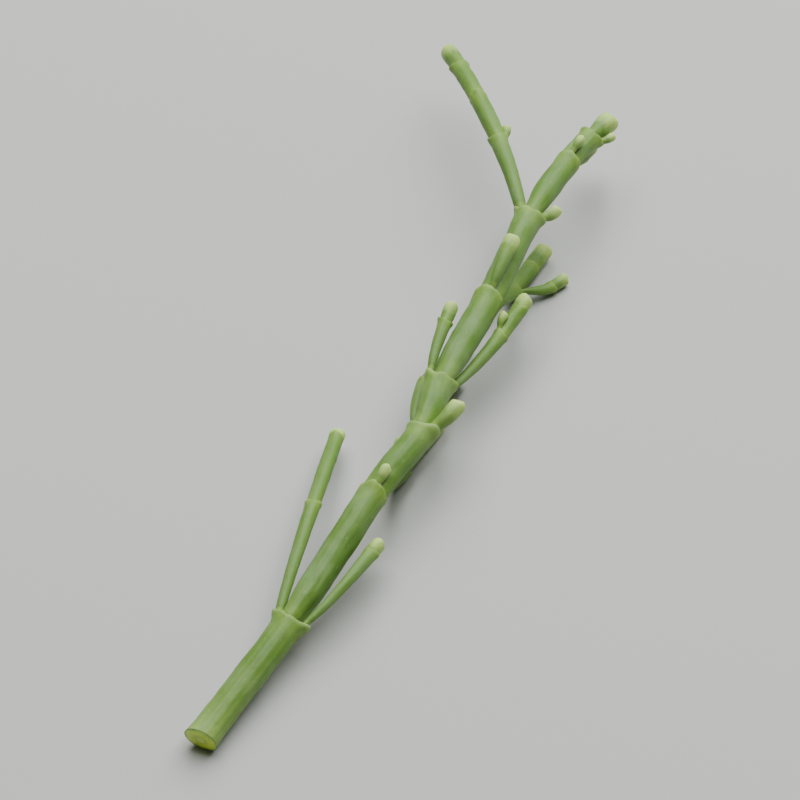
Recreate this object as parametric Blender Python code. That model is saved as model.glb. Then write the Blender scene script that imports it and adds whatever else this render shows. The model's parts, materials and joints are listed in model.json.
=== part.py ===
"""One cut sprig of marsh samphire, lying on its side on a level surface.

Samphire grows as a chain of fleshy segments. Each segment rises out of the
collar on top of the one below, and ends in a collar of its own: two opposite
leaves, grown together round the stem, whose points stand up on either side.
A side shoot or a bud grows behind each leaf point, and each pair of leaves
stands about a quarter turn round from the pair below.

Sizes are in millimetres up to the last step, which writes metres. The main
stem runs along +X from its cut end to its tip, and +Z is up. An azimuth is an
angle round a stem: on the main stem 0 is -Y, its right side seen from the cut
end, 90 is up and 180 is its left side.
"""
import math
from typing import NamedTuple

import bmesh
import bpy
from mathutils import Quaternion, Vector

METRES = 0.001

# Main stem: where its collars lie, as (along, left, up), from the cut end to the tip
STEM_NODES = (
    (0.0, 0.0, 2.05),
    (18.8, -1.6, 4.4),
    (39.8, -1.9, 6.9),
    (50.8, -2.8, 7.9),
    (58.7, -1.3, 8.7),
    (73.8, -0.4, 9.6),
    (89.2, 1.5, 10.2),
    (100.8, 1.6, 10.3),
    (106.4, 1.0, 10.2),
    (111.2, 0.2, 10.0),
)
STEM_RADII = (2.1, 2.1, 2.05, 2.05, 2.0, 2.1, 1.95, 1.8, 1.65, 1.5)
STEM_PAIRS = (0, 4, 78, 28, -34, 84, -13, 77, -13)
STEM_FLARES = (0, 0.30, 0.13, 0.25, 0.20, 0.14, 0.25, 0.12, 0.16, 0)
SPRIG_MIDDLE = Vector((57.36, 10.52, 0.03))

# Where the rings of a segment stand, as shares of its length, and its widths as shares of its radius
BODY_ROWS = (0.10, 0.32, 0.62)
FOOT_ROWS = (0.0, 0.06, 0.3, 0.6)
FOOT_WIDTH = 0.76
BODY_WIDTH = 0.91
CUT_WIDTH = 0.97
SHOOT_FOOT = 0.34
SHOOT_FILLING = 0.7
ROW_GAP = 0.12

# The blunt end of a stem, as (depth below the tip, width) in shares of the radius
DOME = ((0.60, 0.95), (0.28, 0.78), (0.08, 0.45))

# A collar: its lip, the two leaf points on it, and the cup that the next segment rises from
COLLAR_REACH = 0.8
LIP_WIDTH = 0.97
SHOOT_FLARE = 0.12
LEAF_RISE = 0.16
LIP_DIP = 0.08
LEAF_SHARPNESS = 3.0
CUP_DEPTH = 0.14
CUP_WIDTH = 0.72

# A side shoot's foot stands just clear of the leaf point that it grows behind,
# and the foot of the next segment is pressed narrower there
FOOT_OUT = 1.0
FOOT_UP = 0.55
PRESSED_ROWS = (0.20, 0.08)
BEND_STEP = 0.5

# A shoot that reaches the floor lies along it, held off by its widest collar
REST_HEIGHT = 1.13
FLOOR_SOFTNESS = 0.4

# Flat sides round each tube
STEM_SIDES = 12
SHOOT_SIDES = 10
BUD_SIDES = 8
SMALL_RADIUS = 1.0

STEM_GREEN = (0.115, 0.185, 0.070)
SHOOT_GREEN = (0.130, 0.215, 0.062)
BUD_GREEN = (0.215, 0.315, 0.085)
SKIN_ROUGHNESS = 0.42


class Shoot(NamedTuple):
    """A side shoot: the collar and the leaf that it grows behind, its segments and how it leans.

    It opens at one angle from the stem that it grows on and settles to another,
    swings sideways and droops, all in degrees. Its first pair of leaves is turned
    from the plane that it shares with that stem. Its foot's width is a share of
    its radius.
    """
    name: str
    parent: str
    node: int
    side: int
    segments: tuple
    radius: float
    opens: float
    settles: float
    swings: float = 0
    droops: float = 0
    turned: float = 0
    foot: float = SHOOT_FOOT


# The two leaves of a pair, by where they point on the main stem and on side shoots
RIGHT, LEFT = 0, 1
TOP, UNDER = 0, 1
OUTER, INNER = 0, 1

SHOOTS = (
    Shoot("shoot_1_right", "main_stem", 1, RIGHT, (12.9, 2.3), 1.0, opens=14, settles=0,
          swings=3, droops=16, foot=0.4),
    Shoot("shoot_1_left", "main_stem", 1, LEFT, (16.9, 12.8, 1.6), 1.05, opens=19, settles=14,
          swings=7, droops=18, foot=0.56),
    Shoot("bud_2_top", "main_stem", 2, TOP, (1.9,), 0.75, opens=18, settles=2, foot=0.8),
    Shoot("shoot_2_under", "main_stem", 2, UNDER, (8.5, 6.0, 4.0), 1.2, opens=50, settles=10,
          swings=-4, turned=90),
    Shoot("twig_2_under_left", "shoot_2_under", 1, LEFT, (4.4,), 0.75, opens=36, settles=10),
    Shoot("bud_3_right", "main_stem", 3, RIGHT, (4.1,), 1.15, opens=34, settles=12, foot=0.7),
    Shoot("shoot_3_left", "main_stem", 3, LEFT, (9.0, 6.5, 4.5, 3.2), 1.25, opens=30, settles=4,
          swings=-4, droops=42, turned=90),
    Shoot("twig_3_left_inner", "shoot_3_left", 1, RIGHT, (5.0, 3.2), 0.9, opens=44, settles=20),
    Shoot("shoot_4_right", "main_stem", 4, RIGHT, (10.5, 5.0, 2.3), 1.1, opens=19, settles=13, swings=4,
          droops=-8, turned=-30, foot=0.46),
    Shoot("bud_4_right_inner", "shoot_4_right", 1, INNER, (2.0,), 0.6, opens=38, settles=8, foot=0.6),
    Shoot("shoot_4_left", "main_stem", 4, LEFT, (7.1, 3.1), 1.0, opens=12, settles=3, foot=0.5),
    Shoot("shoot_5_top", "main_stem", 5, TOP, (5.4, 2.2), 1.1, opens=24, settles=-2, swings=6, foot=0.5),
    Shoot("shoot_5_under", "main_stem", 5, UNDER, (9.0, 6.0, 4.5), 1.3, opens=52, settles=12,
          swings=-8, turned=90),
    Shoot("twig_5_under_right", "shoot_5_under", 1, RIGHT, (5.4, 3.0), 0.9, opens=44, settles=24,
          droops=24),
    Shoot("bud_5_under_left", "shoot_5_under", 1, LEFT, (2.8,), 0.8, opens=40, settles=20, foot=0.5),
    Shoot("bud_6_right", "main_stem", 6, RIGHT, (2.2,), 0.9, opens=46, settles=14, foot=0.75),
    Shoot("shoot_6_left", "main_stem", 6, LEFT, (12.0, 9.2, 8.0, 5.2), 1.3, opens=34, settles=45,
          swings=-3, droops=24, foot=0.6),
    Shoot("bud_6_left_inner", "shoot_6_left", 1, INNER, (1.8,), 0.65, opens=30, settles=14, foot=0.7),
    Shoot("bud_7_top", "main_stem", 7, TOP, (2.0,), 0.65, opens=26, settles=4, foot=0.6),
    Shoot("shoot_7_under", "main_stem", 7, UNDER, (5.4, 3.4), 1.05, opens=42, settles=14),
    Shoot("bud_8_right", "main_stem", 8, RIGHT, (1.6,), 0.65, opens=28, settles=6, foot=0.75),
)


def clear_scene():
    for item in list(bpy.data.objects):
        bpy.data.objects.remove(item, do_unlink=True)


def smooth_curve(points, steps=12):
    """Return a smooth line through the points, and the place of each point in it."""
    ends = [points[0] * 2 - points[1], *points, points[-1] * 2 - points[-2]]
    line = []
    marks = []
    for before, start, end, after in zip(ends, ends[1:], ends[2:], ends[3:]):
        marks.append(len(line))
        for step in range(steps):
            t = step / steps
            line.append(0.5 * (2 * start + (end - before) * t
                               + (2 * before - 5 * start + 4 * end - after) * t ** 2
                               + (3 * start - before - 3 * end + after) * t ** 3))
    marks.append(len(line))
    line.append(points[-1].copy())
    return line, marks


class Spine:
    """A stem's centre line, with a side direction carried along it without twist."""

    def __init__(self, points, side):
        self.points = points
        self.reach = [0.0]
        for start, end in zip(points, points[1:]):
            self.reach.append(self.reach[-1] + (end - start).length)
        spans = [(b - a).normalized() for a, b in zip([points[0], *points], [*points[1:], points[-1]])
                 if (b - a).length > 0]
        self.tangents = [spans[0]]
        for before, after in zip(spans, spans[1:]):
            self.tangents.append((before + after).normalized())
        self.tangents = (self.tangents + [spans[-1]])[:len(points)]
        side = (side - side.project(self.tangents[0])).normalized()
        self.sides = [side]
        for before, after in zip(self.tangents, self.tangents[1:]):
            side = before.rotation_difference(after) @ side
            self.sides.append((side - side.project(after)).normalized())

    def at(self, distance):
        """Return the point, the direction and the side direction at a distance along the stem."""
        place = 0
        while place < len(self.reach) - 2 and self.reach[place + 1] < distance:
            place += 1
        step = self.reach[place + 1] - self.reach[place]
        share = (distance - self.reach[place]) / step
        point = self.points[place].lerp(self.points[place + 1], share)
        blend = min(max(share, 0.0), 1.0)
        tangent = self.tangents[place].lerp(self.tangents[place + 1], blend).normalized()
        side = self.sides[place].lerp(self.sides[place + 1], blend)
        side = (side - side.project(tangent)).normalized()
        return point, tangent, side

    def outward(self, distance, azimuth):
        """Return the direction that points away from the stem at an azimuth in degrees."""
        _, tangent, side = self.at(distance)
        angle = math.radians(azimuth)
        return side * math.cos(angle) + side.cross(tangent) * math.sin(angle)


class Stem(NamedTuple):
    """A jointed stem: its centre line, and where its collars lie, how wide, how turned and how flared.

    The foot is its width at its start, as a share of its radius.
    """
    spine: Spine
    collars: tuple
    radii: tuple
    pairs: tuple
    flares: tuple
    foot: float


def main_stem():
    line, marks = smooth_curve([Vector(node) for node in STEM_NODES])
    spine = Spine(line, side=Vector((0, -1, 0)))
    collars = tuple(spine.reach[mark] for mark in marks)
    return Stem(spine, collars, STEM_RADII, STEM_PAIRS, STEM_FLARES, foot=CUT_WIDTH)


def lift_off_floor(point, rest_height):
    """Raise a point smoothly to at least the height at which the shoot lies on the floor."""
    below = point.z - rest_height
    return Vector((point.x, point.y, rest_height + 0.5 * (below + math.hypot(below, FLOOR_SOFTNESS))))


def shoot_stem(parent, shoot):
    """Grow a shoot's centre line from behind its leaf point, and set its collars along it."""
    node = parent.collars[shoot.node]
    azimuth = parent.pairs[shoot.node] + 180 * shoot.side
    centre, along, _ = parent.spine.at(node)
    outward = parent.spine.outward(node, azimuth)
    width = parent.radii[shoot.node]
    point = centre + outward * width * FOOT_OUT + along * width * FOOT_UP
    length = sum(shoot.segments)
    steps = max(6, round(length / BEND_STEP))
    points = [point]
    for step in range(steps):
        share = (step + 0.5) / steps
        spread = math.radians(shoot.settles + (shoot.opens - shoot.settles) * (1 - share) ** 2)
        heading = along * math.cos(spread) + outward * math.sin(spread)
        heading = Quaternion((0, 0, 1), math.radians(shoot.swings * share)) @ heading
        level = heading.cross(Vector((0, 0, 1))).normalized()
        heading = Quaternion(level, math.radians(-shoot.droops * share)) @ heading
        point = point + heading * length / steps
        points.append(point)
    spine = Spine([lift_off_floor(point, shoot.radius * REST_HEIGHT) for point in points], side=outward)
    collars = [0.0]
    for segment in shoot.segments:
        collars.append(collars[-1] + segment * spine.reach[-1] / length)
    radii = [shoot.radius] * len(collars)
    pairs = [shoot.turned + 90 * (number - 1) for number in range(len(collars))]
    flares = [SHOOT_FLARE] * len(collars)
    return Stem(spine, tuple(collars), tuple(radii), tuple(pairs), tuple(flares), shoot.foot)


def leaf_share(angle, pair):
    """Return 1 at the middle of each leaf of a pair, falling to 0 between the leaves."""
    return abs(math.cos(angle - math.radians(pair))) ** LEAF_SHARPNESS


def add_row(mesh, stem, distance, radius, sides, lip=None, pressed_pair=0, pressed=0.0):
    """Add a ring of points, with leaf points where it is a lip, or pressed in where shoots stand."""
    centre, tangent, side = stem.spine.at(distance)
    across = side.cross(tangent)
    row = []
    for number in range(sides):
        angle = 2 * math.pi * number / sides
        reach = radius * (1 - pressed * leaf_share(angle, pressed_pair))
        rise = 0.0
        if lip is not None:
            leaf = leaf_share(angle, stem.pairs[lip])
            reach = radius * (1 + stem.flares[lip] * leaf)
            rise = radius * (LEAF_RISE * leaf - LIP_DIP * (1 - leaf))
        outward = side * math.cos(angle) + across * math.sin(angle)
        row.append(mesh.verts.new((centre + outward * reach + tangent * rise) * METRES))
    return row


def join_rows(mesh, rows):
    for lower, upper in zip(rows, rows[1:]):
        for number in range(len(lower)):
            after = (number + 1) % len(lower)
            mesh.faces.new((lower[number], lower[after], upper[after], upper[number]))


def close_end(mesh, row, point):
    tip = mesh.verts.new(point * METRES)
    for number in range(len(row)):
        mesh.faces.new((row[number], row[(number + 1) % len(row)], tip))


def segment_rows(stem, number):
    """Return the rings of a segment below its collar or up to its tip, as (distance, width)."""
    start, end = stem.collars[number - 1], stem.collars[number]
    radius = stem.radii[number]
    is_foot = number == 1
    is_tip = number == len(stem.collars) - 1
    top = DOME if is_tip else ((COLLAR_REACH, BODY_WIDTH),)
    rows = []
    for share in FOOT_ROWS if is_foot else BODY_ROWS:
        filling = min(1.0, 3 * share)
        width = FOOT_WIDTH + (BODY_WIDTH - FOOT_WIDTH) * filling
        if is_foot:
            filling = 1 - (1 - share) ** 3 if is_tip else share ** SHOOT_FILLING
            width = stem.foot + (BODY_WIDTH - stem.foot) * filling
        distance = start + share * (end - start)
        if distance < end - (top[0][0] + ROW_GAP) * radius:
            rows.append((distance, width))
    return rows + [(end - depth * radius, width) for depth, width in top]


def jointed_tube(stem, sides):
    """Skin a stem: segment by segment, each with its collar and the cup that holds the next one."""
    mesh = bmesh.new()
    count = len(stem.collars) - 1
    rows = []
    for number in range(1, count + 1):
        radius = stem.radii[number]
        for place, (distance, width) in enumerate(segment_rows(stem, number)):
            pressed = PRESSED_ROWS[place] if number > 1 and place < len(PRESSED_ROWS) else 0.0
            rows.append(add_row(mesh, stem, distance, radius * width, sides,
                                pressed_pair=stem.pairs[number - 1], pressed=pressed))
        if number < count:
            cup_radius = stem.radii[number + 1] * CUP_WIDTH
            rows.append(add_row(mesh, stem, stem.collars[number], radius * LIP_WIDTH, sides, lip=number))
            rows.append(add_row(mesh, stem, stem.collars[number] - radius * CUP_DEPTH, cup_radius, sides,
                                pressed_pair=stem.pairs[number], pressed=PRESSED_ROWS[0]))
    join_rows(mesh, rows)
    close_end(mesh, rows[0], stem.spine.at(0.0)[0])
    close_end(mesh, rows[-1], stem.spine.at(stem.collars[-1])[0])
    bmesh.ops.translate(mesh, verts=mesh.verts, vec=-SPRIG_MIDDLE * METRES)
    bmesh.ops.recalc_face_normals(mesh, faces=mesh.faces)
    return mesh


def skin_material(name, colour):
    material = bpy.data.materials.new(name)
    material.use_nodes = True
    shader = material.node_tree.nodes["Principled BSDF"]
    shader.inputs["Base Color"].default_value = (*colour, 1.0)
    shader.inputs["Roughness"].default_value = SKIN_ROUGHNESS
    shader.inputs["Metallic"].default_value = 0.0
    return material


def add_object(name, mesh, material):
    data = bpy.data.meshes.new(name)
    mesh.to_mesh(data)
    mesh.free()
    data.materials.append(material)
    data.shade_smooth()
    data.set_sharp_from_angle(angle=math.radians(50))
    item = bpy.data.objects.new(name, data)
    bpy.context.scene.collection.objects.link(item)
    return item


def shoot_object(shoot, stem):
    colour = BUD_GREEN if shoot.name.startswith("bud") else SHOOT_GREEN
    sides = BUD_SIDES if shoot.radius < SMALL_RADIUS else SHOOT_SIDES
    mesh = jointed_tube(stem, sides)
    return add_object(shoot.name, mesh, skin_material(shoot.name + "_skin", colour))


def build_sprig():
    clear_scene()
    sprig = bpy.data.objects.new("sprig", None)
    bpy.context.scene.collection.objects.link(sprig)
    stems = {"main_stem": main_stem()}
    mesh = jointed_tube(stems["main_stem"], STEM_SIDES)
    item = add_object("main_stem", mesh, skin_material("main_stem_skin", STEM_GREEN))
    item.parent = sprig
    for shoot in SHOOTS:
        stems[shoot.name] = shoot_stem(stems[shoot.parent], shoot)
        item = shoot_object(shoot, stems[shoot.name])
        item.parent = sprig


build_sprig()
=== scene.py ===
"""The look of one cut sprig of marsh samphire, lying on a pale floor.

The sprig's stems are grown here again, finely, along the same centre lines as
the solids of the frame, and each stands for the solid of the same name. Every
stem is a chain of fleshy segments. Each rises out of a cup, swells, and ends in
a collar of two joined leaves with a thin pale edge, which is the next cup.

Sizes are in millimetres up to the last step, which writes metres.
"""
import json
import math
import random
from typing import NamedTuple

import bpy
import numpy as np
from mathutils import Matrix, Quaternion, Vector, noise

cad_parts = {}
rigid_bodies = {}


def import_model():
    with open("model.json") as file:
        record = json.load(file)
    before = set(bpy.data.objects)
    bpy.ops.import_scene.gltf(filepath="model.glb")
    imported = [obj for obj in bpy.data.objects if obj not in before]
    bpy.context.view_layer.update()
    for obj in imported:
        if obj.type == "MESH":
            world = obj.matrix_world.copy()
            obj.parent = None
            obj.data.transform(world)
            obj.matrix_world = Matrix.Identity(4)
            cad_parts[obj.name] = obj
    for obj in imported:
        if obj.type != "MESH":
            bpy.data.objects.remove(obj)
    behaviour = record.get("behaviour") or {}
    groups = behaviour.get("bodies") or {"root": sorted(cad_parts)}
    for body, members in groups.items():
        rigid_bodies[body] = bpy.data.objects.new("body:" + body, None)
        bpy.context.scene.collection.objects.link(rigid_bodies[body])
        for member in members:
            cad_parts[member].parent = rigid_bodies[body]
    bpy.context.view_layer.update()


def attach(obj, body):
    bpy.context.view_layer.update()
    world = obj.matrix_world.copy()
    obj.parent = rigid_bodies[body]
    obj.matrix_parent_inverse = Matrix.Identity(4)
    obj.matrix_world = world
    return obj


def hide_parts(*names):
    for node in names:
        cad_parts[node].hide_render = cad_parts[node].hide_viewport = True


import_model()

METRES = 0.001

# Main stem, from the cut end to the tip: where its collars lie, as (along, left, up), how wide it is
# there, where its leaf points point in degrees, and how far they stand out
STEM_NODES = (
    (0.0, 0.0, 2.05),
    (18.8, -1.6, 4.4),
    (39.8, -1.9, 6.9),
    (50.8, -2.8, 7.9),
    (58.7, -1.3, 8.7),
    (73.8, -0.4, 9.6),
    (89.2, 1.5, 10.2),
    (100.8, 1.6, 10.3),
    (106.4, 1.0, 10.2),
    (111.2, 0.2, 10.0),
)
STEM_RADII = (2.1, 2.1, 2.05, 2.05, 2.0, 2.1, 1.95, 1.8, 1.65, 1.5)
STEM_PAIRS = (0, 4, 78, 28, -34, 84, -13, 77, -13, -13)
STEM_FLARES = (0, 0.30, 0.13, 0.25, 0.20, 0.14, 0.25, 0.12, 0.16, 0)
SPRIG_MIDDLE = Vector((57.36, 10.52, 0.03))

# Where a side shoot's foot stands, how much younger it is than its stem, and how a shoot that
# reaches the floor lies on it
FOOT_OUT = 1.0
FOOT_UP = 0.55
FOOT_YOUTH = 0.25
BEND_STEP = 0.5
FEWEST_BENDS = 6
REST_HEIGHT = 1.13
FLOOR_SOFTNESS = 0.4

# Outline of a segment: widths and heights as shares of its collar's radius
FOOT_WIDTH = 0.87
SHOOT_NECK = 0.92
BODY_WIDTH = 0.90
TAPER = 0.03
SWELL_HEIGHT = 1.3
CUT_WIDTH = 0.97
BARREL = 0.12
BARREL_LENGTH = 3.4
SHOOT_FOOT = 0.34
SHOOT_FILLING = 0.7
TIP_WIDTH = 0.95
DOME_HEIGHT = 0.75
DOME_POWER = 2.5
CLEFT = 0.30

# A collar: the two leaf points on its lip, the lip's rounded edge, the cup inside it, and how far
# and how high the stem above is pressed in by its shoots
COLLAR_HEIGHT = 0.50
LIP_WIDTH = 0.97
SHOOT_FLARE = 0.12
LEAF_RISE = 0.16
LIP_DIP = 0.08
LEAF_REACH = 1.0
LEAF_POINT = 0.10
LIP_EDGE = ((-0.018, 0.045), (-0.062, 0.078), (-0.118, 0.072), (-0.162, 0.030), (-0.180, -0.035))
FULL_FLARE = 0.25
CUP_DEPTH = 0.22
CUP_STEPS = 4
PRESSED = 0.30
SHOOT_PRESSED = 0.10
PRESSED_HEIGHT = 3.0
UNEVEN = 0.5
LIP_WAVER = 0.1
WAVER_SIZE = 1.6
WAVER_STEP = 7.3

# The hidden foot of a side shoot: how far it goes down beside the stem, and how much it narrows
SOCKET = 1.4
SOCKET_NARROWING = 0.25

# Rings of points round the stems, closer at the ends of a segment
ROW_STEP = 0.34
ROW_CROWDING = 0.04
FEWEST_ROWS = 10
DOME_ROWS = 13
SOCKET_ROWS = 5
STEM_SIDES = 96
SHOOT_SIDES = 56
BUD_SIDES = 40
SMALL_RADIUS = 1.0

# Relief of the skin, as shares of the radius: ribs, by how many there are round the stem, a keel and
# a groove under each leaf point, and lumps, as (size, depth)
RIBS = (5, 8, 13)
OLD_RIBS = 0.026
YOUNG_RIBS = 0.006
RIBS_FADE = 2.2
KEEL = 0.035
KEEL_LENGTH = 3.5
GROOVE = 0.022
GROOVE_WIDTH = 0.06
OVAL = 0.03
LUMPS = ((2.4, 0.055), (1.0, 0.035), (0.45, 0.014))

# The cut face: rings from its middle to its edge, as (share of the radius, height in mm)
CUT_RINGS = ((0.10, 0.06), (0.22, 0.05), (0.32, 0.03), (0.37, 0.02), (0.42, 0.03), (0.52, 0.06),
             (0.66, 0.09), (0.80, 0.06), (0.90, 0.0), (0.955, -0.02), (0.985, -0.01))
CUT_WAVES = 9
CUT_UNEVEN = 0.25
CUT_SLOPE = math.tan(math.radians(9))
CUT_REACH = 2.5

# How far each mark on the skin reaches, as shares of the radius
COLLAR_BELOW = 0.9
COLLAR_ABOVE = 1.1
CUP_SHADE_ABOVE = 0.22
RIM_BELOW = 0.20
CUT_RIM = 0.15
CUT_PALENESS = 2.5
TIP_PALENESS = 2.6

# Colours, as linear light
OLD_GREEN = (0.102, 0.212, 0.020)
YOUNG_GREEN = (0.110, 0.238, 0.026)
# Paler yellow-green of the young tips, brightened beyond the flesh's own colour as a painted highlight
TIP_GREEN_AND_HIGHLIGHT = (0.640, 0.850, 0.220)
COLLAR_GREEN = (0.265, 0.435, 0.060)
# Painted shade: darkens the skin deep in the cups, in the tips' clefts and at the hidden feet of the
# shoots
CUP_PAINTED_SHADE = (0.030, 0.070, 0.012)
FRESH_GREEN = (0.290, 0.450, 0.090)
RIM_PALE = (0.330, 0.480, 0.150)
DARK_STREAK = (0.050, 0.120, 0.012)
PALE_STREAK = (0.180, 0.300, 0.080)
BLOOM = (0.190, 0.310, 0.110)
SPECK = (0.300, 0.430, 0.220)
PITH = (0.740, 0.920, 0.200)
CORTEX = (0.660, 0.880, 0.070)
VESSELS = (0.520, 0.700, 0.080)
FLOOR = (0.520, 0.515, 0.505)

# The skin's waxy gloss and the moist flesh's, as roughness, and how strongly the skin reflects
SKIN_ROUGHNESS = (0.50, 0.62)
CUT_ROUGHNESS = (0.22, 0.42)
SKIN_REFLECTION = 0.42

# Patterns in the skin and the cut flesh, in cycles per mm round the stem and along it
STREAKS = (1.5, 0.11)
PATCHES = (0.35, 0.22)
SPECKS = (1.3, 0.9)
MOTTLE = (0.9, 0.6)
WRINKLES = (2.2, 0.35)
PEBBLES = (3.0, 2.4)
CUT_BLOTCHES = (1.6, 1.6)
CUT_GRAIN = (4.5, 4.5)

# Depths of the fine relief in mm
WRINKLE_DEPTH = 0.04
PEBBLE_DEPTH = 0.03
CUT_GRAIN_DEPTH = 0.10

# How much light goes through the skin and the cut flesh, and how far each colour goes in mm
SKIN_GLOW = 0.10
CUT_GLOW = 0.25
GLOW_DEPTHS = (0.5, 1.0, 0.25)

# Studio: how far the floor reaches, in metres, and the soft light from all round
FLOOR_REACH = 3.0
SKY = (0.92, 0.96, 1.0)
SKY_STRENGTH = 0.05

# Camera, as in the photograph: from the sprig's right and behind its cut end. Places are in metres
CAMERA_AZIMUTH = math.radians(-59.5)
CAMERA_ELEVATION = math.radians(47.3)
CAMERA_ROLL = math.radians(-2.8)
CAMERA_DISTANCE = 0.434
CAMERA_AIM = Vector((-0.0025, -0.0079, 0.0070))
CAMERA_LENS = 153.6

# What the skin's material reads at each point, from 0 to 1: cup carries painted shade, and tip carries the
# tips' paleness, which is partly a painted highlight
MARKS = ("age", "collar", "rim", "cup", "tip", "cut")


class Shoot(NamedTuple):
    """A side shoot: the collar and the leaf that it grows behind, its segments and how it leans.

    It opens at one angle from the stem that it grows on and settles to another,
    swings sideways and droops, all in degrees. Its first pair of leaves is turned
    from the plane that it shares with that stem. Its foot's width is a share of
    its radius.
    """
    name: str
    parent: str
    node: int
    side: int
    segments: tuple
    radius: float
    opens: float
    settles: float
    swings: float = 0
    droops: float = 0
    turned: float = 0
    foot: float = SHOOT_FOOT


# The two leaves of a pair, by where they point. A side shoot's inner leaf faces the main stem
RIGHT, LEFT = 0, 1
TOP, UNDER = 0, 1
INNER = 1

SHOOTS = (
    Shoot("shoot_1_right", "main_stem", 1, RIGHT, (12.9, 2.3), 1.0, opens=14, settles=0,
          swings=3, droops=16, foot=0.4),
    Shoot("shoot_1_left", "main_stem", 1, LEFT, (16.9, 12.8, 1.6), 1.05, opens=19, settles=14,
          swings=7, droops=18, foot=0.56),
    Shoot("bud_2_top", "main_stem", 2, TOP, (1.9,), 0.75, opens=18, settles=2, foot=0.8),
    Shoot("shoot_2_under", "main_stem", 2, UNDER, (8.5, 6.0, 4.0), 1.2, opens=50, settles=10,
          swings=-4, turned=90),
    Shoot("twig_2_under_left", "shoot_2_under", 1, LEFT, (4.4,), 0.75, opens=36, settles=10),
    Shoot("bud_3_right", "main_stem", 3, RIGHT, (4.1,), 1.15, opens=34, settles=12, foot=0.7),
    Shoot("shoot_3_left", "main_stem", 3, LEFT, (9.0, 6.5, 4.5, 3.2), 1.25, opens=30, settles=4,
          swings=-4, droops=42, turned=90),
    Shoot("twig_3_left_inner", "shoot_3_left", 1, RIGHT, (5.0, 3.2), 0.9, opens=44, settles=20),
    Shoot("shoot_4_right", "main_stem", 4, RIGHT, (10.5, 5.0, 2.3), 1.1, opens=19, settles=13, swings=4,
          droops=-8, turned=-30, foot=0.46),
    Shoot("bud_4_right_inner", "shoot_4_right", 1, INNER, (2.0,), 0.6, opens=38, settles=8, foot=0.6),
    Shoot("shoot_4_left", "main_stem", 4, LEFT, (7.1, 3.1), 1.0, opens=12, settles=3, foot=0.5),
    Shoot("shoot_5_top", "main_stem", 5, TOP, (5.4, 2.2), 1.1, opens=24, settles=-2, swings=6, foot=0.5),
    Shoot("shoot_5_under", "main_stem", 5, UNDER, (9.0, 6.0, 4.5), 1.3, opens=52, settles=12,
          swings=-8, turned=90),
    Shoot("twig_5_under_right", "shoot_5_under", 1, RIGHT, (5.4, 3.0), 0.9, opens=44, settles=24,
          droops=24),
    Shoot("bud_5_under_left", "shoot_5_under", 1, LEFT, (2.8,), 0.8, opens=40, settles=20, foot=0.5),
    Shoot("bud_6_right", "main_stem", 6, RIGHT, (2.2,), 0.9, opens=46, settles=14, foot=0.75),
    Shoot("shoot_6_left", "main_stem", 6, LEFT, (12.0, 9.2, 8.0, 5.2), 1.3, opens=34, settles=45,
          swings=-3, droops=24, foot=0.6),
    Shoot("bud_6_left_inner", "shoot_6_left", 1, INNER, (1.8,), 0.65, opens=30, settles=14, foot=0.7),
    Shoot("bud_7_top", "main_stem", 7, TOP, (2.0,), 0.65, opens=26, settles=4, foot=0.6),
    Shoot("shoot_7_under", "main_stem", 7, UNDER, (5.4, 3.4), 1.05, opens=42, settles=14),
    Shoot("bud_8_right", "main_stem", 8, RIGHT, (1.6,), 0.65, opens=28, settles=6, foot=0.75),
)


def smooth_curve(points, steps=12):
    """Return a smooth line through the points, and the place of each point in it."""
    ends = [points[0] * 2 - points[1], *points, points[-1] * 2 - points[-2]]
    line = []
    marks = []
    for before, start, end, after in zip(ends, ends[1:], ends[2:], ends[3:]):
        marks.append(len(line))
        for step in range(steps):
            t = step / steps
            line.append(0.5 * (2 * start + (end - before) * t
                               + (2 * before - 5 * start + 4 * end - after) * t ** 2
                               + (3 * start - before - 3 * end + after) * t ** 3))
    marks.append(len(line))
    line.append(points[-1].copy())
    return line, marks


class Spine:
    """A stem's centre line, with a side direction carried along it without twist."""

    def __init__(self, points, side):
        self.points = points
        self.reach = [0.0]
        for start, end in zip(points, points[1:]):
            self.reach.append(self.reach[-1] + (end - start).length)
        starts, ends = [points[0], *points[:-1]], [*points[1:], points[-1]]
        spans = [(end - start).normalized() for start, end in zip(starts, ends)]
        self.tangents = [spans[0]]
        for before, after in zip(spans, spans[1:]):
            self.tangents.append((before + after).normalized())
        side = (side - side.project(self.tangents[0])).normalized()
        self.sides = [side]
        for before, after in zip(self.tangents, self.tangents[1:]):
            side = before.rotation_difference(after) @ side
            self.sides.append((side - side.project(after)).normalized())

    def at(self, distance):
        """Return the point, the direction and the side direction at a distance along the stem."""
        place = 0
        while place < len(self.reach) - 2 and self.reach[place + 1] < distance:
            place += 1
        step = self.reach[place + 1] - self.reach[place]
        share = (distance - self.reach[place]) / step
        point = self.points[place].lerp(self.points[place + 1], share)
        blend = min(max(share, 0.0), 1.0)
        tangent = self.tangents[place].lerp(self.tangents[place + 1], blend).normalized()
        side = self.sides[place].lerp(self.sides[place + 1], blend)
        side = (side - side.project(tangent)).normalized()
        return point, tangent, side

    def outward(self, distance, azimuth):
        """Return the direction that points away from the stem at an azimuth in degrees."""
        _, tangent, side = self.at(distance)
        angle = math.radians(azimuth)
        return side * math.cos(angle) + side.cross(tangent) * math.sin(angle)


class Stem(NamedTuple):
    """A jointed stem: its centre line, and where its collars lie, how wide, how turned and how old.

    Ages run from 0 for the old flesh at the cut end to 1 for the youngest. The
    flares are how far its leaf points stand out. Its foot is its width at its start
    and its neck is its width where it rises out of a cup, and it is pressed in there
    beside its leaf points.
    """
    spine: Spine
    collars: tuple
    radii: tuple
    pairs: tuple
    ages: tuple
    flares: tuple
    foot: float
    neck: float = FOOT_WIDTH
    pressed: float = PRESSED


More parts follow.
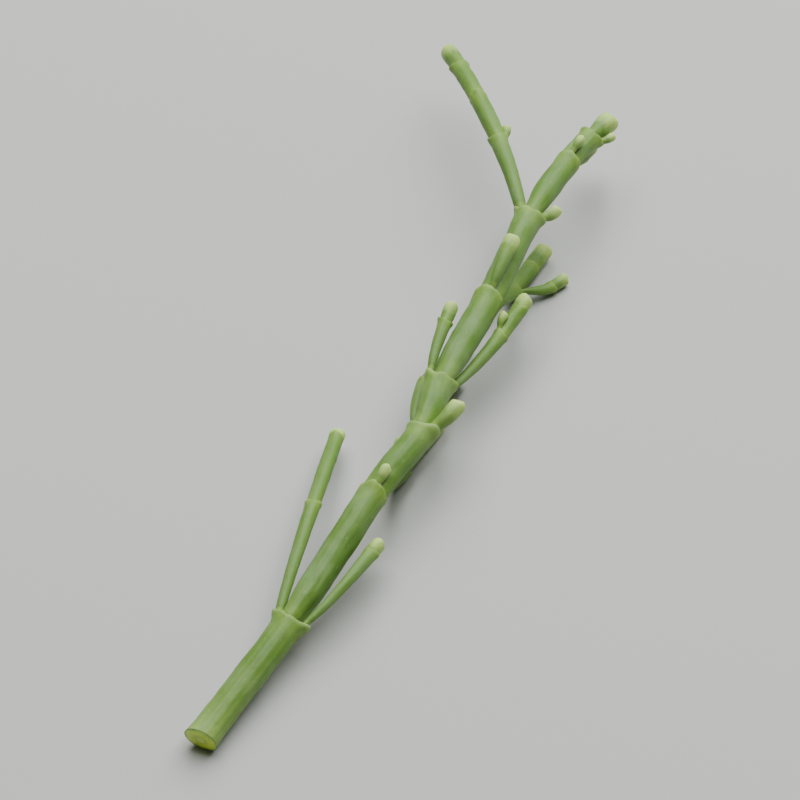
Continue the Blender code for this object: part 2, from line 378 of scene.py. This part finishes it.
def main_stem():
    """Set the main stem's collars along a smooth centre line."""
    line, marks = smooth_curve([Vector(node) for node in STEM_NODES])
    spine = Spine(line, side=Vector((0, -1, 0)))
    collars = tuple(spine.reach[mark] for mark in marks)
    ages = tuple(collar / collars[-1] for collar in collars)
    return Stem(spine, collars, STEM_RADII, STEM_PAIRS, ages, STEM_FLARES, CUT_WIDTH)


def lift_off_floor(point, rest_height):
    """Raise a point smoothly to at least the height at which the shoot lies on the floor."""
    below = point.z - rest_height
    return Vector((point.x, point.y, rest_height + 0.5 * (below + math.hypot(below, FLOOR_SOFTNESS))))


def shoot_spine(parent, shoot):
    """Grow a shoot's centre line from behind its leaf point."""
    node = parent.collars[shoot.node]
    azimuth = parent.pairs[shoot.node] + 180 * shoot.side
    centre, along, _ = parent.spine.at(node)
    outward = parent.spine.outward(node, azimuth)
    width = parent.radii[shoot.node]
    point = centre + outward * width * FOOT_OUT + along * width * FOOT_UP
    length = sum(shoot.segments)
    steps = max(FEWEST_BENDS, round(length / BEND_STEP))
    points = [point]
    for step in range(steps):
        share = (step + 0.5) / steps
        spread = math.radians(shoot.settles + (shoot.opens - shoot.settles) * (1 - share) ** 2)
        heading = along * math.cos(spread) + outward * math.sin(spread)
        heading = Quaternion((0, 0, 1), math.radians(shoot.swings * share)) @ heading
        level = heading.cross(Vector((0, 0, 1))).normalized()
        heading = Quaternion(level, math.radians(-shoot.droops * share)) @ heading
        point = point + heading * length / steps
        points.append(point)
    return Spine([lift_off_floor(point, shoot.radius * REST_HEIGHT) for point in points], side=outward)


def shoot_stem(parent, shoot):
    """Set a shoot's collars along its centre line."""
    spine = shoot_spine(parent, shoot)
    shares = [0.0]
    for segment in shoot.segments:
        shares.append(shares[-1] + segment / sum(shoot.segments))
    start = parent.ages[shoot.node]
    return Stem(spine,
                collars=tuple(share * spine.reach[-1] for share in shares),
                radii=(shoot.radius,) * len(shares),
                pairs=tuple(shoot.turned + 90 * (number - 1) for number in range(len(shares))),
                ages=tuple(start + (1 - start) * (FOOT_YOUTH + (1 - FOOT_YOUTH) * share)
                           for share in shares),
                flares=(SHOOT_FLARE,) * len(shares),
                foot=shoot.foot, neck=SHOOT_NECK, pressed=SHOOT_PRESSED)


def smooth_step(value):
    """Ease from 0 to 1 as the value goes from 0 to 1."""
    value = min(max(value, 0.0), 1.0)
    return value * value * (3 - 2 * value)


class Skin:
    """Rings of points round a stem, with what its material needs to know at each point."""

    def __init__(self, name, stem, sides):
        self.name = name
        self.stem = stem
        self.sides = sides
        self.random = random.Random(name)
        self.shift = Vector([self.random.uniform(0, 100) for _ in range(3)])
        self.angles = np.arange(sides) * 2 * np.pi / sides
        self.points = []
        self.grain = []
        self.marks = {mark: [] for mark in MARKS}
        self.cut_rows = 0

    def add_row(self, distance, reach, rise=0.0, **marks):
        """Add a ring at a distance along the stem, with its reach and its rise at each side."""
        centre, tangent, side = (np.array(item) for item in self.stem.spine.at(distance))
        across = np.cross(side, tangent)
        reach = np.broadcast_to(reach, self.sides)
        rise = np.broadcast_to(rise, self.sides)
        right, up = np.cos(self.angles) * reach, np.sin(self.angles) * reach
        self.points.append(centre + np.outer(right, side) + np.outer(up, across) + np.outer(rise, tangent))
        self.grain.append(np.stack([right, up, distance + rise], axis=1))
        for mark in MARKS:
            self.marks[mark].append(np.broadcast_to(marks.get(mark, 0.0), self.sides))

    def leaves(self, pair):
        """Return 1 at the two leaf points of a pair, falling to 0 between the leaves."""
        away = np.sqrt(np.sin(self.angles - math.radians(pair)) ** 2 + LEAF_POINT ** 2) - LEAF_POINT
        return (1 - away) ** 1.5

    def pressing(self, number):
        """Return how far the stem above a collar is pressed in beside its two leaf points."""
        return self.stem.pressed * np.cos(self.angles - math.radians(self.stem.pairs[number])) ** 2

    def waver(self, number):
        """Return how a collar's edge wavers round the stem, from about -1 to 1."""
        places = [Vector((math.cos(angle), math.sin(angle), WAVER_STEP * number)) for angle in self.angles]
        return np.array([2 * noise.noise(self.shift + WAVER_SIZE * place) for place in places])

    def lumps(self, distance, radius):
        """Return the uneven swelling of a ring, as a share of its radius."""
        swelling = np.zeros(self.sides)
        for size, depth in LUMPS:
            for number, angle in enumerate(self.angles):
                place = Vector((math.cos(angle), math.sin(angle), distance / radius)) / size
                swelling[number] += depth * noise.noise(self.shift + place)
        return swelling


class Segment:
    """One segment of a stem, from the cup that it rises out of to its lip or its tip."""

    def __init__(self, skin, number, is_shoot):
        stem = skin.stem
        self.skin = skin
        self.is_foot = number == 1 and is_shoot
        self.is_cut = number == 1 and not is_shoot
        self.is_tip = number == len(stem.collars) - 1
        self.in_cup = not (self.is_foot or self.is_cut)
        self.radius = stem.radii[number]
        self.start = stem.collars[number - 1]
        if self.in_cup:
            self.start -= CUP_DEPTH * stem.radii[number - 1]
        self.length = stem.collars[number] - self.start
        self.leaves = skin.leaves(stem.pairs[number])
        self.facing = np.cos(2 * (skin.angles - math.radians(stem.pairs[number])))
        self.pressing = skin.pressing(number - 1)
        self.ages = stem.ages[number - 1:number + 1]
        self.ribs = [(count, skin.random.uniform(0, 2 * math.pi)) for count in RIBS]
        self.oval = skin.random.uniform(0, math.pi)
        waver = skin.waver(number)
        self.waver = LIP_WAVER * waver
        self.flare = stem.flares[number] * (1 + UNEVEN * waver)
        self.rim = (0.4 + 0.6 * self.leaves) * min(1.0, stem.flares[number] / FULL_FLARE)

    def heights(self, share):
        """Return how far a ring is above the start and below the end, as shares of the radius."""
        return share * self.length / self.radius, (1 - share) * self.length / self.radius

    def age(self, share):
        """Return the age of the flesh at a share of the length."""
        return self.ages[0] + (self.ages[1] - self.ages[0]) * share

    def width(self, share):
        """Return the mean width at a share of the length, as a share of the collar's radius."""
        above, below = self.heights(share)
        full = TIP_WIDTH if self.is_tip else BODY_WIDTH + TAPER * share
        foot = self.skin.stem.foot
        if self.is_foot and self.is_tip:
            width = foot + (full - foot) * (1 - (1 - share) ** 3)
        elif self.is_foot:
            width = foot + (full - foot) * share ** SHOOT_FILLING
        elif self.is_cut:
            width = full - (full - CUT_WIDTH) * math.exp(-above / SWELL_HEIGHT)
        else:
            width = full - (full - self.skin.stem.neck) * math.exp(-above / SWELL_HEIGHT)
            bulge = max(0.0, 1 - self.length / self.radius / BARREL_LENGTH)
            width += BARREL * bulge * math.sin(math.pi * share)
        if self.is_tip:
            lost = self.lost(below)
            return width * (1 - lost ** DOME_POWER) ** (1 / DOME_POWER)
        return width + (LIP_WIDTH - width) * math.exp(-(below / COLLAR_HEIGHT) ** 1.6)

    def lost(self, below):
        """Return 0 under the dome of a tip, rising to 1 at its top."""
        dome = min(DOME_HEIGHT, 0.5 * self.length / self.radius)
        return min(max(1 - below / dome, 0.0), 1.0)

    def relief(self, share):
        """Return how far ribs, keels, grooves and lumps raise the skin, as a share of its radius."""
        skin = self.skin
        middle = math.sqrt(max(0.0, math.sin(math.pi * share)))
        depth = OLD_RIBS + (YOUNG_RIBS - OLD_RIBS) * min(1.0, self.age(share) * RIBS_FADE)
        raised = sum(np.cos(count * skin.angles + turn + 0.5 * share) for count, turn in self.ribs)
        raised = 0.5 * depth * middle * raised + OVAL * middle * np.cos(2 * (skin.angles - self.oval))
        raised = raised + skin.lumps(self.start + share * self.length, self.radius)
        if not self.is_tip:
            near = smooth_step(1 - self.heights(share)[1] / KEEL_LENGTH)
            raised = raised + near * (KEEL * self.leaves ** 3
                                      - GROOVE * np.exp(-(self.leaves / GROOVE_WIDTH) ** 2))
        return raised

    def shares(self):
        """Return the shares of the length at which rings lie, closer at both ends."""
        count = max(FEWEST_ROWS, round(self.length / ROW_STEP))
        even = np.linspace(0, 1, count + 1)
        shares = even - ROW_CROWDING * np.sin(2 * np.pi * even)
        if not self.is_tip:
            return shares
        dome = min(DOME_HEIGHT * self.radius / self.length, 0.5)
        turn = np.linspace(0, np.pi / 2, DOME_ROWS + 1)[:-1]
        return np.concatenate([shares[shares < 1 - 1.05 * dome], 1 - dome + dome * np.sin(turn)])

    def add_rows(self):
        """Add the segment's rings to the skin, from its start to its lip or its tip."""
        for share in self.shares():
            above, below = self.heights(share)
            lip = 0.0 if self.is_tip else smooth_step(1 - below / LEAF_REACH)
            width = self.width(share)
            flare = self.flare * self.leaves * lip ** 2.5
            reach = width * (1 + self.relief(share)) * (1 + flare)
            rise = lip * (LEAF_RISE * self.leaves - LIP_DIP * (1 - self.leaves) + self.waver)
            if self.is_tip:
                rise = rise + CLEFT * width * self.lost(below) ** 2 * self.facing
            if self.in_cup:
                reach = reach * (1 - self.pressing * smooth_step(1 - above / PRESSED_HEIGHT))
            if self.is_cut:
                slope = CUT_SLOPE * max(0.0, 1 - share * self.length / CUT_REACH)
                rise = rise + slope * np.cos(self.skin.angles) * width
            self.skin.add_row(self.start + share * self.length, self.radius * reach, self.radius * rise,
                              **self.row_marks(share, above, below))
        if not self.is_tip:
            self.add_lip(reach, rise)

    def row_marks(self, share, above, below):
        """Return what the material needs to know at a ring."""
        marks = {"age": self.age(share)}
        if self.in_cup:
            marks["collar"] = 0.8 * math.exp(-(above / COLLAR_ABOVE) ** 1.2)
            # Painted shade at the segment's foot, deep in the cup under the lip
            marks["cup"] = math.exp(-(above / CUP_SHADE_ABOVE) ** 1.5)
        if self.is_cut:
            marks["cut"] = math.exp(-above / CUT_PALENESS)
            marks["rim"] = 0.8 * math.exp(-(above / CUT_RIM) ** 2)
        if self.is_tip:
            marks["tip"] = max(0.0, 1 - below / TIP_PALENESS)
            # On a tip, the cup mark paints shade into the cleft between its two lobes
            marks["cup"] = np.maximum(marks.get("cup", 0.0),
                                      0.7 * self.lost(below) ** 3 * (0.5 - 0.5 * self.facing))
        else:
            marks["collar"] = max(marks.get("collar", 0.0), math.exp(-(below / COLLAR_BELOW) ** 1.2))
            marks["rim"] = np.maximum(marks.get("rim", 0.0),
                                      math.exp(-(below / RIM_BELOW) ** 2) * self.rim)
        return marks

    def add_lip(self, reach, rise):
        """Turn the skin over the lip and take it down into the cup, to the foot of the next segment."""
        skin = self.skin
        end = self.start + self.length
        number = skin.stem.collars.index(end)
        foot = skin.stem.radii[number + 1] / self.radius * skin.stem.neck * (1 - skin.pressing(number))
        for inward, upward in LIP_EDGE:
            skin.add_row(end, self.radius * (reach + inward), self.radius * (rise + upward),
                         age=self.ages[1], collar=1.0, rim=self.rim)
        inward, upward = LIP_EDGE[-1]
        for step in range(1, CUP_STEPS):
            share = step / CUP_STEPS
            depth = math.sin(share * math.pi / 2)
            wall = (reach + inward) * (1 - share ** 2) + foot * share ** 2
            sunk = (rise + upward) * (1 - depth) - CUP_DEPTH * depth
            # The cup mark paints shade down the cup's wall, darker with depth
            skin.add_row(end, self.radius * wall, self.radius * sunk, age=self.ages[1], collar=1.0,
                         cup=depth)


def add_cut_face(skin):
    """Add the rings of the cut end, from its middle outwards."""
    radius = skin.stem.radii[1] * CUT_WIDTH
    for share, height in CUT_RINGS:
        uneven = 1 + CUT_UNEVEN * np.cos(CUT_WAVES * skin.angles + 3 * share)
        skin.add_row(0.0, radius * share, CUT_SLOPE * np.cos(skin.angles) * radius * share
                     - height * uneven, cut=share)
    skin.cut_rows = len(skin.points)


def add_socket(skin):
    """Add the hidden foot of a shoot, sunk between the leaf and the stem that it grows from."""
    for share in np.linspace(0, 1, SOCKET_ROWS + 1)[:-1]:
        width = skin.stem.foot * (1 - SOCKET_NARROWING + SOCKET_NARROWING * share)
        # The cup mark paints shade on the hidden foot, darkest at the bottom of the socket
        skin.add_row(-SOCKET * (1 - share), skin.stem.radii[1] * width,
                     age=skin.stem.ages[0], collar=1.0, cup=0.6 * (1 - share))


def ring_faces(rows, sides):
    """Return the faces between the rings, then the fans that close the two ends."""
    faces = []
    for row in range(rows - 1):
        for side in range(sides):
            near, far = row * sides + side, row * sides + (side + 1) % sides
            faces.append((near, near + sides, far + sides, far))
    top = (rows - 1) * sides
    first_pole, last_pole = rows * sides, rows * sides + 1
    faces += [(first_pole, side, (side + 1) % sides) for side in range(sides)]
    faces += [(last_pole, top + (side + 1) % sides, top + side) for side in range(sides)]
    return faces


def mark_mesh(mesh, skin, foot, tip):
    """Give the mesh its marks, and the place of each point on the stem, as attributes."""
    for mark in MARKS:
        values = np.concatenate([*skin.marks[mark], [skin.marks[mark][0][0], skin.marks[mark][-1][0]]])
        layer = mesh.attributes.new(mark, "FLOAT", "POINT")
        layer.data.foreach_set("value", values.astype(np.float32))
    grain = np.concatenate([*skin.grain, [(0, 0, foot), (0, 0, tip)]]) + np.array(skin.shift)
    layer = mesh.attributes.new("grain", "FLOAT_VECTOR", "POINT")
    layer.data.foreach_set("vector", grain.astype(np.float32).ravel())


def skin_mesh(skin):
    """Join the rings into a closed mesh. The second material is for the cut face and its middle fan."""
    foot = 0.0 if skin.cut_rows else -SOCKET
    tip = skin.stem.collars[-1]
    poles = [skin.stem.spine.at(foot)[0], skin.stem.spine.at(tip)[0]]
    points = np.concatenate([*skin.points, np.array(poles)]) - np.array(SPRIG_MIDDLE)
    points[:, 2] = np.maximum(points[:, 2], 0.0)
    faces = ring_faces(len(skin.points), skin.sides)
    mesh = bpy.data.meshes.new(skin.name + "_flesh")
    mesh.from_pydata((points * METRES).tolist(), [], faces)
    mark_mesh(mesh, skin, foot, tip)
    mesh.shade_smooth()
    if skin.cut_rows:
        is_cut = np.zeros(len(faces), dtype=np.int32)
        is_cut[:(skin.cut_rows - 1) * skin.sides] = 1
        is_cut[-2 * skin.sides:-skin.sides] = 1
        mesh.polygons.foreach_set("material_index", is_cut)
    return mesh


def grow(name, stem, sides, is_shoot, materials):
    """Skin a stem from its foot to its tip, and put it in the place of its solid."""
    skin = Skin(name, stem, sides)
    if is_shoot:
        add_socket(skin)
    else:
        add_cut_face(skin)
    for number in range(1, len(stem.collars)):
        Segment(skin, number, is_shoot).add_rows()
    mesh = skin_mesh(skin)
    for material in materials:
        mesh.materials.append(material)
    item = bpy.data.objects.new(name + "_flesh", mesh)
    bpy.context.scene.collection.objects.link(item)
    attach(item, "root")
    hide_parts(name)


class Look:
    """A procedural material: its shader, and the nodes that feed it."""

    def __init__(self, name):
        self.material = bpy.data.materials.new(name)
        self.material.use_nodes = True
        self.nodes = self.material.node_tree.nodes
        self.links = self.material.node_tree.links
        self.shader = self.nodes["Principled BSDF"]

    def feed(self, socket, value):
        """Link a socket to a node's output, or give it a constant."""
        if isinstance(value, bpy.types.NodeSocket):
            self.links.new(value, socket)
        elif isinstance(value, tuple) and socket.type == "RGBA":
            socket.default_value = (*value, 1.0)
        else:
            socket.default_value = value

    def node(self, kind, inputs, **settings):
        """Add a node, with what feeds its inputs and how it is set."""
        item = self.nodes.new(kind)
        for setting, value in settings.items():
            setattr(item, setting, value)
        for name, value in inputs.items():
            self.feed(item.inputs[name], value)
        return item

    def mark(self, name):
        """Return one of the marks that the flesh carries."""
        return self.node("ShaderNodeAttribute", {}, attribute_name=name).outputs["Fac"]

    def grain(self, around, along):
        """Return the place on the stem in mm, scaled round the stem and along it."""
        place = self.node("ShaderNodeAttribute", {}, attribute_name="grain").outputs["Vector"]
        return self.node("ShaderNodeVectorMath", {0: place, 1: (around, around, along)},
                         operation="MULTIPLY").outputs["Vector"]

    def noise(self, place, detail=2.0, roughness=0.5):
        return self.node("ShaderNodeTexNoise", {"Vector": place, "Scale": 1.0, "Detail": detail,
                                                "Roughness": roughness}).outputs["Fac"]

    def spread(self, value, low, high, start=0.0, end=1.0):
        """Map low to high onto start to end, and hold the ends."""
        return self.node("ShaderNodeMapRange", {"Value": value, "From Min": low, "From Max": high,
                                                "To Min": start, "To Max": end}).outputs["Result"]

    def maths(self, operation, *values):
        return self.node("ShaderNodeMath", dict(enumerate(values)), operation=operation).outputs[0]

    def mix(self, share, first, second):
        return self.node("ShaderNodeMix", {0: share, 6: first, 7: second}, data_type="RGBA").outputs[2]

    def relief(self, height):
        """Raise the surface by a height in mm."""
        bump = self.node("ShaderNodeBump", {"Height": height, "Distance": METRES, "Strength": 1.0})
        self.links.new(bump.outputs["Normal"], self.shader.inputs["Normal"])

    def set(self, values):
        """Set the shader's own sockets, which hold all over the surface."""
        for name, value in values.items():
            self.shader.inputs[name].default_value = value


def flesh_material(name, streaks, bloom, freshness):
    """Make the waxy green skin: streaked along the stem, yellower at collars, tips and the cut. The tips
    are also made paler as a painted highlight, and painted shade darkens the cups.
    """
    look = Look(name)
    colour = look.mix(look.mark("age"), OLD_GREEN, YOUNG_GREEN)
    colour = look.mix(freshness, colour, FRESH_GREEN)
    streak = look.noise(look.grain(*STREAKS), detail=3.0, roughness=0.6)
    colour = look.mix(look.spread(streak, 0.46, 0.30, 0.0, streaks), colour, DARK_STREAK)
    colour = look.mix(look.spread(streak, 0.54, 0.72, 0.0, streaks), colour, PALE_STREAK)
    patch = look.noise(look.grain(*PATCHES))
    colour = look.mix(look.spread(patch, 0.42, 0.74, 0.0, bloom), colour, BLOOM)
    dots = look.node("ShaderNodeTexVoronoi", {"Vector": look.grain(*SPECKS), "Scale": 1.0})
    colour = look.mix(look.spread(dots.outputs["Distance"], 0.16, 0.08, 0.0, 0.35), colour, SPECK)
    mottle = look.noise(look.grain(*MOTTLE))
    collar = look.maths("MULTIPLY", look.mark("collar"), look.spread(mottle, 0.30, 0.66, 0.20, 1.0))
    colour = look.mix(collar, colour, COLLAR_GREEN)
    fresh = look.maths("MULTIPLY", look.mark("cut"), look.spread(mottle, 0.30, 0.70, 0.5, 0.9))
    colour = look.mix(fresh, colour, FRESH_GREEN)
    # Tip paleness: yellower young flesh, made paler still as a painted highlight
    tip = look.maths("ADD", look.mark("tip"), look.spread(mottle, 0.35, 0.65, -0.12, 0.12))
    colour = look.mix(look.spread(tip, 0.12, 1.0, 0.0, 0.95), colour, TIP_GREEN_AND_HIGHLIGHT)
    # Painted shade in the cups, the tips' clefts and the shoots' hidden feet
    colour = look.mix(look.spread(look.mark("cup"), 0.0, 1.0, 0.0, 0.8), colour, CUP_PAINTED_SHADE)
    colour = look.mix(look.spread(look.mark("rim"), 0.15, 0.95, 0.0, 0.75), colour, RIM_PALE)
    look.feed(look.shader.inputs["Base Color"], colour)
    look.feed(look.shader.inputs["Roughness"], look.spread(patch, 0.35, 0.7, *SKIN_ROUGHNESS))
    wrinkles = look.maths("MULTIPLY", look.noise(look.grain(*WRINKLES)), WRINKLE_DEPTH)
    pebbles = look.noise(look.grain(*PEBBLES), roughness=0.6)
    look.relief(look.maths("MULTIPLY_ADD", pebbles, PEBBLE_DEPTH, wrinkles))
    look.set({"Specular IOR Level": SKIN_REFLECTION})
    moist_flesh(look, SKIN_GLOW)
    return look.material


def moist_flesh(look, weight):
    """Let a little light through the flesh, and more green light than red."""
    look.set({"Subsurface Weight": weight, "Subsurface Radius": GLOW_DEPTHS,
              "Subsurface Scale": METRES})


def cut_material():
    """Make the moist cut end: pale pith, an uneven ring of vessels and bright yellow-green flesh."""
    look = Look("cut_flesh")
    cut = look.mark("cut")
    uneven = look.noise(look.grain(*CUT_BLOTCHES), detail=3.0, roughness=0.6)
    place = look.maths("ADD", cut, look.spread(uneven, 0.3, 0.7, -0.14, 0.14))
    colour = look.mix(look.spread(place, 0.20, 0.36), PITH, VESSELS)
    colour = look.mix(look.spread(place, 0.38, 0.56), colour, CORTEX)
    colour = look.mix(look.spread(place, 0.80, 1.08, 0.0, 0.8), colour, COLLAR_GREEN)
    grain = look.noise(look.grain(*CUT_GRAIN), detail=3.0, roughness=0.7)
    colour = look.mix(look.spread(grain, 0.55, 0.75, 0.0, 0.5), colour, PITH)
    look.feed(look.shader.inputs["Base Color"], colour)
    look.feed(look.shader.inputs["Roughness"], look.spread(grain, 0.3, 0.7, *CUT_ROUGHNESS))
    look.relief(look.maths("MULTIPLY", grain, CUT_GRAIN_DEPTH))
    moist_flesh(look, CUT_GLOW)
    return look.material


def floor_material():
    """Make the plain pale floor."""
    look = Look("studio_floor")
    look.set({"Base Color": (*FLOOR, 1.0), "Roughness": 0.8})
    return look.material


def build_sprig():
    """Grow the main stem, then each shoot from the stem that bears it."""
    stem_skin = flesh_material("stem_skin", streaks=0.45, bloom=0.70, freshness=0.0)
    shoot_skin = flesh_material("shoot_skin", streaks=0.30, bloom=0.45, freshness=0.1)
    bud_skin = flesh_material("bud_skin", streaks=0.20, bloom=0.30, freshness=0.5)
    stems = {"main_stem": main_stem()}
    grow("main_stem", stems["main_stem"], STEM_SIDES, False, (stem_skin, cut_material()))
    for shoot in SHOOTS:
        stem = shoot_stem(stems[shoot.parent], shoot)
        stems[shoot.name] = stem
        sides = BUD_SIDES if shoot.radius < SMALL_RADIUS else SHOOT_SIDES
        if shoot.name.startswith("bud"):
            grow(shoot.name, stem, sides, True, (bud_skin,))
        else:
            grow(shoot.name, stem, sides, True, (shoot_skin,))


def add_floor():
    mesh = bpy.data.meshes.new("floor")
    corners = [(x * FLOOR_REACH, y * FLOOR_REACH, 0) for x, y in ((-1, -1), (1, -1), (1, 1), (-1, 1))]
    mesh.from_pydata(corners, [], [(0, 1, 2, 3)])
    mesh.materials.append(floor_material())
    floor = bpy.data.objects.new("floor", mesh)
    bpy.context.scene.collection.objects.link(floor)


def add_light(name, azimuth, elevation, distance, size, power, colour):
    """Add a square soft light that looks at the sprig from an azimuth and an elevation in degrees."""
    data = bpy.data.lights.new(name, "AREA")
    data.size = size
    data.energy = power
    data.color = colour
    light = bpy.data.objects.new(name, data)
    turn, lift = math.radians(azimuth), math.radians(elevation)
    away = Vector((math.cos(turn) * math.cos(lift), math.sin(turn) * math.cos(lift), math.sin(lift)))
    light.location = away * distance
    light.rotation_euler = away.to_track_quat("Z", "Y").to_euler()
    bpy.context.scene.collection.objects.link(light)


def add_studio():
    add_floor()
    add_light("key", azimuth=9, elevation=61, distance=0.90, size=1.10, power=21.5,
              colour=(0.97, 1.0, 0.98))
    world = bpy.data.worlds.new("studio_light")
    world.use_nodes = True
    sky = world.node_tree.nodes["Background"]
    sky.inputs["Color"].default_value = (*SKY, 1.0)
    sky.inputs["Strength"].default_value = SKY_STRENGTH
    bpy.context.scene.world = world


def add_camera():
    """Look at the sprig as the photograph does."""
    back = Vector((math.sin(CAMERA_AZIMUTH) * math.cos(CAMERA_ELEVATION),
                   -math.cos(CAMERA_AZIMUTH) * math.cos(CAMERA_ELEVATION),
                   math.sin(CAMERA_ELEVATION)))
    data = bpy.data.cameras.new("camera")
    data.lens = CAMERA_LENS
    camera = bpy.data.objects.new("camera", data)
    camera.location = CAMERA_AIM + back * CAMERA_DISTANCE
    turn = back.to_track_quat("Z", "Y") @ Quaternion((0, 0, 1), CAMERA_ROLL)
    camera.rotation_euler = turn.to_euler()
    bpy.context.scene.collection.objects.link(camera)
    bpy.context.scene.camera = camera


build_sprig()
add_studio()
add_camera()
